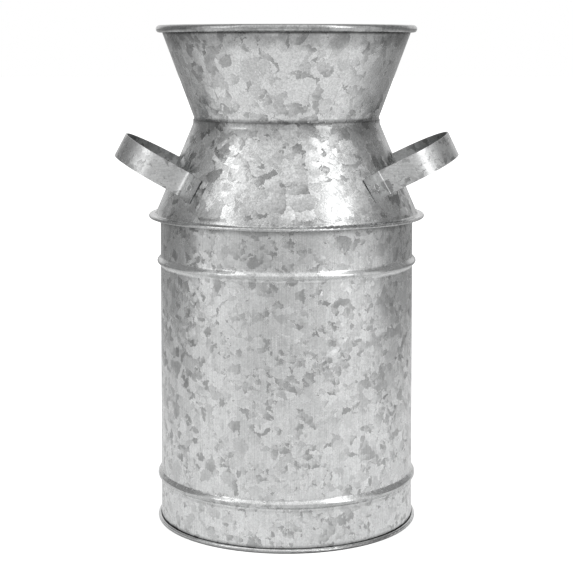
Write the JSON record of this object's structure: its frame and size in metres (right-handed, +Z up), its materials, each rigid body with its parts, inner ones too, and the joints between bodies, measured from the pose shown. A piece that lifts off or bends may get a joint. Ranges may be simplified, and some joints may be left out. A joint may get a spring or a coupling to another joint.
{
  "type": "milk can",
  "caption": "Galvanised sheet-steel milk can with a flared wired mouth, sloping shoulder, beaded cylindrical body and bent strap handles.",
  "frame": {"origin": "centre of the circle that the can stands on, in the floor plane", "axes": "+Z up along the can's axis; the handles lie on the X axis; -Y is the front and the lock seams are at the back, on +Y"},
  "size_m": [0.2095, 0.1688, 0.305],
  "materials": {
    "galvanised_sheet": "galvanised, spangled, semi-matt",
    "galvanised_strap": "galvanised, rolled, satin",
    "steel_wire": "drawn wire, plain",
    "solder": "soft solder, dull and lumpy",
    "weld": "spot weld print, bright ring"
  },
  "bodies": {
    "root": {"mouth_funnel": "galvanised_sheet", "mouth_rim_wire": "steel_wire", "neck_solder": "solder", "shoulder": "galvanised_sheet", "body": "galvanised_sheet", "foot_rim_wire": "steel_wire", "base_plate": "galvanised_sheet", "base_solder": "solder", "right_handle": "galvanised_strap", "right_handle_welds": "weld", "left_handle": "galvanised_strap", "left_handle_welds": "weld"}
  },
  "joints": []
}
